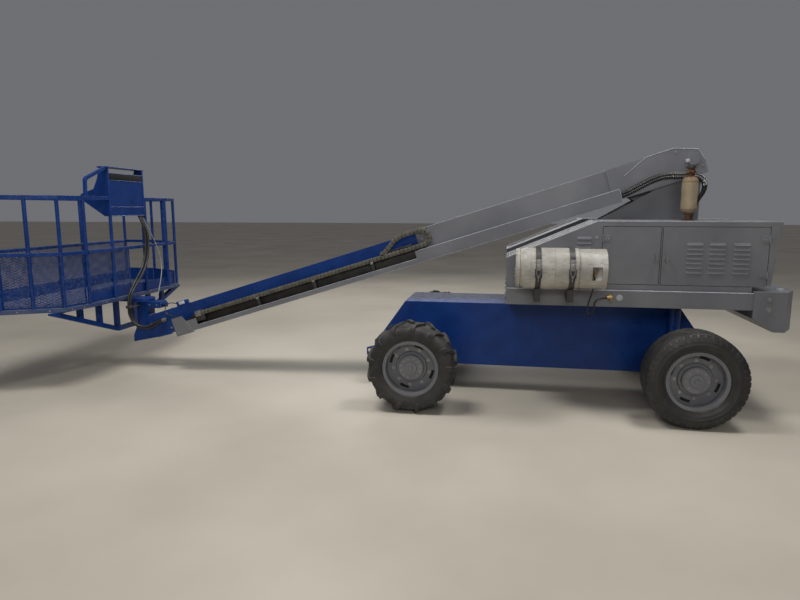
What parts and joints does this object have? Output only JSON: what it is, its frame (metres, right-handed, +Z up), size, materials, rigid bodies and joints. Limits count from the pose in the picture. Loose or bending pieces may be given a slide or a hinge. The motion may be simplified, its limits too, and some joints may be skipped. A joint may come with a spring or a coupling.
{
  "type": "telescopic boom lift",
  "caption": "Self-propelled work platform on a lowered telescopic boom over a slewing turntable with a four-wheeled chassis.",
  "frame": {"origin": "on the floor, at the middle of the overall length and width", "axes": "+X along the machine towards its counterweight and steered wheels, +Y across it to the far side, +Z up"},
  "size_m": [6.9278, 2.4, 2.1491],
  "materials": {
    "blue_paint": "semi-gloss machine enamel, scuffed",
    "gray_paint": "semi-gloss machine enamel",
    "tyre": "worn dusty rubber",
    "bare_steel": "greased steel",
    "chrome_rod": "hard chrome",
    "engine_iron": "dark painted iron",
    "silencer_skin": "heat-stained aluminised steel",
    "tank_paint": "scuffed off-white paint",
    "strap_steel": "black paint, worn",
    "chain_plastic": "dusty nylon links",
    "panel_dark": "dark control panel"
  },
  "bodies": {
    "chassis": {"chassis_frame": "blue_paint", "tie_down_lugs": "blue_paint", "slew_ring_lower": "bare_steel", "drive_axle": "blue_paint", "steer_axle_beam": "blue_paint", "lockout_cylinders": "blue_paint"},
    "turntable": {"slew_ring_upper": "bare_steel", "turntable_deck": "gray_paint", "boom_uprights": "gray_paint", "boom_pivot_pin": "bare_steel", "counterweight": "gray_paint", "engine": "engine_iron", "silencer": "silencer_skin", "gas_tank": "tank_paint", "tank_brackets": "strap_steel", "hood_near": "gray_paint", "hood_far": "gray_paint"},
    "door_front_near": {"door_front_near": "gray_paint"},
    "door_rear_near": {"door_rear_near": "gray_paint"},
    "door_front_far": {"door_front_far": "gray_paint"},
    "door_rear_far": {"door_rear_far": "gray_paint"},
    "lift_barrel": {"lift_barrel": "blue_paint"},
    "lift_rod": {"lift_rod": "chrome_rod"},
    "base_boom": {"base_boom": "gray_paint", "hose_tray": "gray_paint", "hose_chain": "chain_plastic"},
    "fly_boom": {"fly_boom": "blue_paint"},
    "level_link": {"level_link": "blue_paint"},
    "platform": {"platform_floor": "blue_paint", "toe_boards": "blue_paint", "platform_truss": "blue_paint", "rail_near": "blue_paint", "rail_far": "blue_paint", "rail_front": "blue_paint", "rail_rear": "blue_paint", "mesh_panels": "blue_paint", "console_box": "blue_paint", "control_panel": "panel_dark"},
    "platform_gate": {"platform_gate": "blue_paint"},
    "knuckle_near": {"steer_knuckle_near": "blue_paint"},
    "knuckle_far": {"steer_knuckle_far": "blue_paint"},
    "tie_rod": {"tie_rod": "bare_steel"},
    "wheel_drive_near": {"rim_drive_near": "gray_paint", "tyre_drive_near": "tyre"},
    "wheel_drive_far": {"rim_drive_far": "gray_paint", "tyre_drive_far": "tyre"},
    "wheel_steer_near": {"rim_steer_near": "gray_paint", "tyre_steer_near": "tyre"},
    "wheel_steer_far": {"rim_steer_far": "gray_paint", "tyre_steer_far": "tyre"}
  },
  "joints": [
    {"name": "turntable_swing", "type": "hinge", "parent": "chassis", "child": "turntable", "pos_m": [1.55086, 0, 0.875], "axis": [0, 0, 1], "range_deg": [-180, 180]},
    {"name": "boom_lift", "type": "hinge", "parent": "turntable", "child": "base_boom", "pos_m": [2.79586, 0, 2.058], "axis": [0, 1, 0], "range_deg": [0, 87.4]},
    {"name": "fly_extend", "type": "slide", "parent": "base_boom", "child": "fly_boom", "axis": [-0.9542, 0, -0.299], "range_m": [0, 1.5]},
    {"name": "platform_level", "type": "hinge", "parent": "fly_boom", "child": "level_link", "pos_m": [-2.31886, 0, 0.45514], "axis": [0, 1, 0], "range_deg": [-87.4, 0]},
    {"name": "platform_rotate", "type": "hinge", "parent": "level_link", "child": "platform", "pos_m": [-2.44886, 0, 0.69], "axis": [0, 0, 1], "range_deg": [-90, 90]},
    {"name": "gate_swing", "type": "hinge", "parent": "platform", "child": "platform_gate", "pos_m": [-2.60186, 0.654, 0.76], "axis": [0, 0, -1], "range_deg": [0, 90]},
    {"name": "lift_barrel_tilt", "type": "hinge", "parent": "turntable", "child": "lift_barrel", "pos_m": [1.83086, 0, 1.09], "axis": [0, -1, 0], "range_deg": [0, 26.7]},
    {"name": "lift_rod_slide", "type": "slide", "parent": "lift_barrel", "child": "lift_rod", "axis": [0.7296, 0, 0.6839], "range_m": [0, 0.44]},
    {"name": "door_front_near_swing", "type": "hinge", "parent": "turntable", "child": "door_front_near", "pos_m": [2.01086, -0.7323, 1.055], "axis": [0, 0, -1], "range_deg": [0, 85]},
    {"name": "door_rear_near_swing", "type": "hinge", "parent": "turntable", "child": "door_rear_near", "pos_m": [3.21886, -0.7323, 1.055], "axis": [0, 0, 1], "range_deg": [0, 110]},
    {"name": "door_front_far_swing", "type": "hinge", "parent": "turntable", "child": "door_front_far", "pos_m": [2.01086, 0.7323, 1.055], "axis": [0, 0, 1], "range_deg": [0, 85]},
    {"name": "door_rear_far_swing", "type": "hinge", "parent": "turntable", "child": "door_rear_far", "pos_m": [3.21886, 0.7323, 1.055], "axis": [0, 0, -1], "range_deg": [0, 110]},
    {"name": "steer_near", "type": "hinge", "parent": "chassis", "child": "knuckle_near", "pos_m": [2.69386, -0.755, 0.37], "axis": [0, 0, 1], "range_deg": [-28, 28]},
    {"name": "roll_steer_near", "type": "hinge", "parent": "knuckle_near", "child": "wheel_steer_near", "pos_m": [2.69386, -0.92, 0.37], "axis": [0, 1, 0], "continuous": true},
    {"name": "roll_drive_near", "type": "hinge", "parent": "chassis", "child": "wheel_drive_near", "pos_m": [0.52886, -0.92, 0.37], "axis": [0, 1, 0], "continuous": true},
    {"name": "steer_far", "type": "hinge", "parent": "chassis", "child": "knuckle_far", "pos_m": [2.69386, 0.755, 0.37], "axis": [0, 0, 1], "range_deg": [-28, 28]},
    {"name": "roll_steer_far", "type": "hinge", "parent": "knuckle_far", "child": "wheel_steer_far", "pos_m": [2.69386, 0.92, 0.37], "axis": [0, 1, 0], "continuous": true},
    {"name": "roll_drive_far", "type": "hinge", "parent": "chassis", "child": "wheel_drive_far", "pos_m": [0.52886, 0.92, 0.37], "axis": [0, 1, 0], "continuous": true},
    {"name": "tie_rod_slide", "type": "slide", "parent": "chassis", "child": "tie_rod", "axis": [0, -1, 0], "range_m": [-0.07, 0.07]}
  ],
  "couplings": [
    {"joint": "platform_level", "follows": "boom_lift", "ratio": -1},
    {"joint": "lift_barrel_tilt", "follows": "boom_lift", "ratio": 0.3052},
    {"joint": "lift_rod_slide", "follows": "boom_lift", "m_per_rad": 0.288},
    {"joint": "steer_far", "follows": "steer_near", "ratio": 1},
    {"joint": "tie_rod_slide", "follows": "steer_near", "m_per_rad": 0.14}
  ]
}
